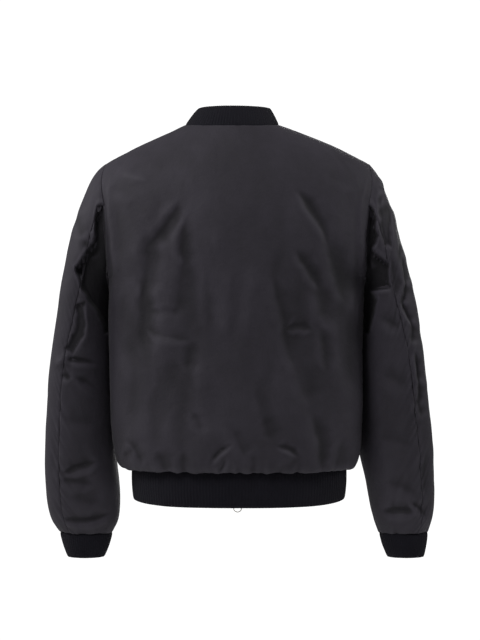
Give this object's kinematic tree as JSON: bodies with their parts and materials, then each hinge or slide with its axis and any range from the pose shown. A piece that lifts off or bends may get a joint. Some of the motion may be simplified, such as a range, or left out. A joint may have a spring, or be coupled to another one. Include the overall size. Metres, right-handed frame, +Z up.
{
  "type": "bomber jacket",
  "caption": "Waist-length zipped bomber jacket filled out as if worn, with set-in two-piece sleeves and a rib-knit collar, hem band and cuffs.",
  "frame": {"origin": "where the jacket hangs on its wearer: at the height of the neck points, midway between the shoulders", "axes": "+Z up, -Y towards the front with the zip, +X towards the wearer's left"},
  "size_m": [0.677, 0.2655, 0.78],
  "materials": {
    "shell_cloth": "matt to soft-sheen dark charcoal woven cloth",
    "rib_knit": "matt near-black rib knit",
    "zip_tape": "matt black woven tape",
    "zip_metal": "pale nickel-plated metal"
  },
  "bodies": {
    "jacket": {"back": "shell_cloth", "front_left": "shell_cloth", "front_right": "shell_cloth", "sleeve_left_upper": "shell_cloth", "sleeve_left_under": "shell_cloth", "sleeve_right_upper": "shell_cloth", "sleeve_right_under": "shell_cloth", "cuff_left": "rib_knit", "cuff_right": "rib_knit", "hem_band": "rib_knit", "collar": "rib_knit", "zip_tape_left": "zip_tape", "zip_tape_right": "zip_tape", "zip_chain": "zip_metal", "slider_top": "zip_metal", "slider_bottom": "zip_metal"},
    "ring_top": {"ring_top": "zip_metal"},
    "ring_bottom": {"ring_bottom": "zip_metal"}
  },
  "joints": [
    {"name": "ring_top_hinge", "type": "hinge", "parent": "jacket", "child": "ring_top", "pos_m": [0, -0.09011, -0.08834], "axis": [-1, 0, 0], "range_deg": [0, 150]},
    {"name": "ring_bottom_hinge", "type": "hinge", "parent": "jacket", "child": "ring_bottom", "pos_m": [0, -0.11627, -0.66813], "axis": [-1, 0, 0], "range_deg": [0, 150]}
  ]
}
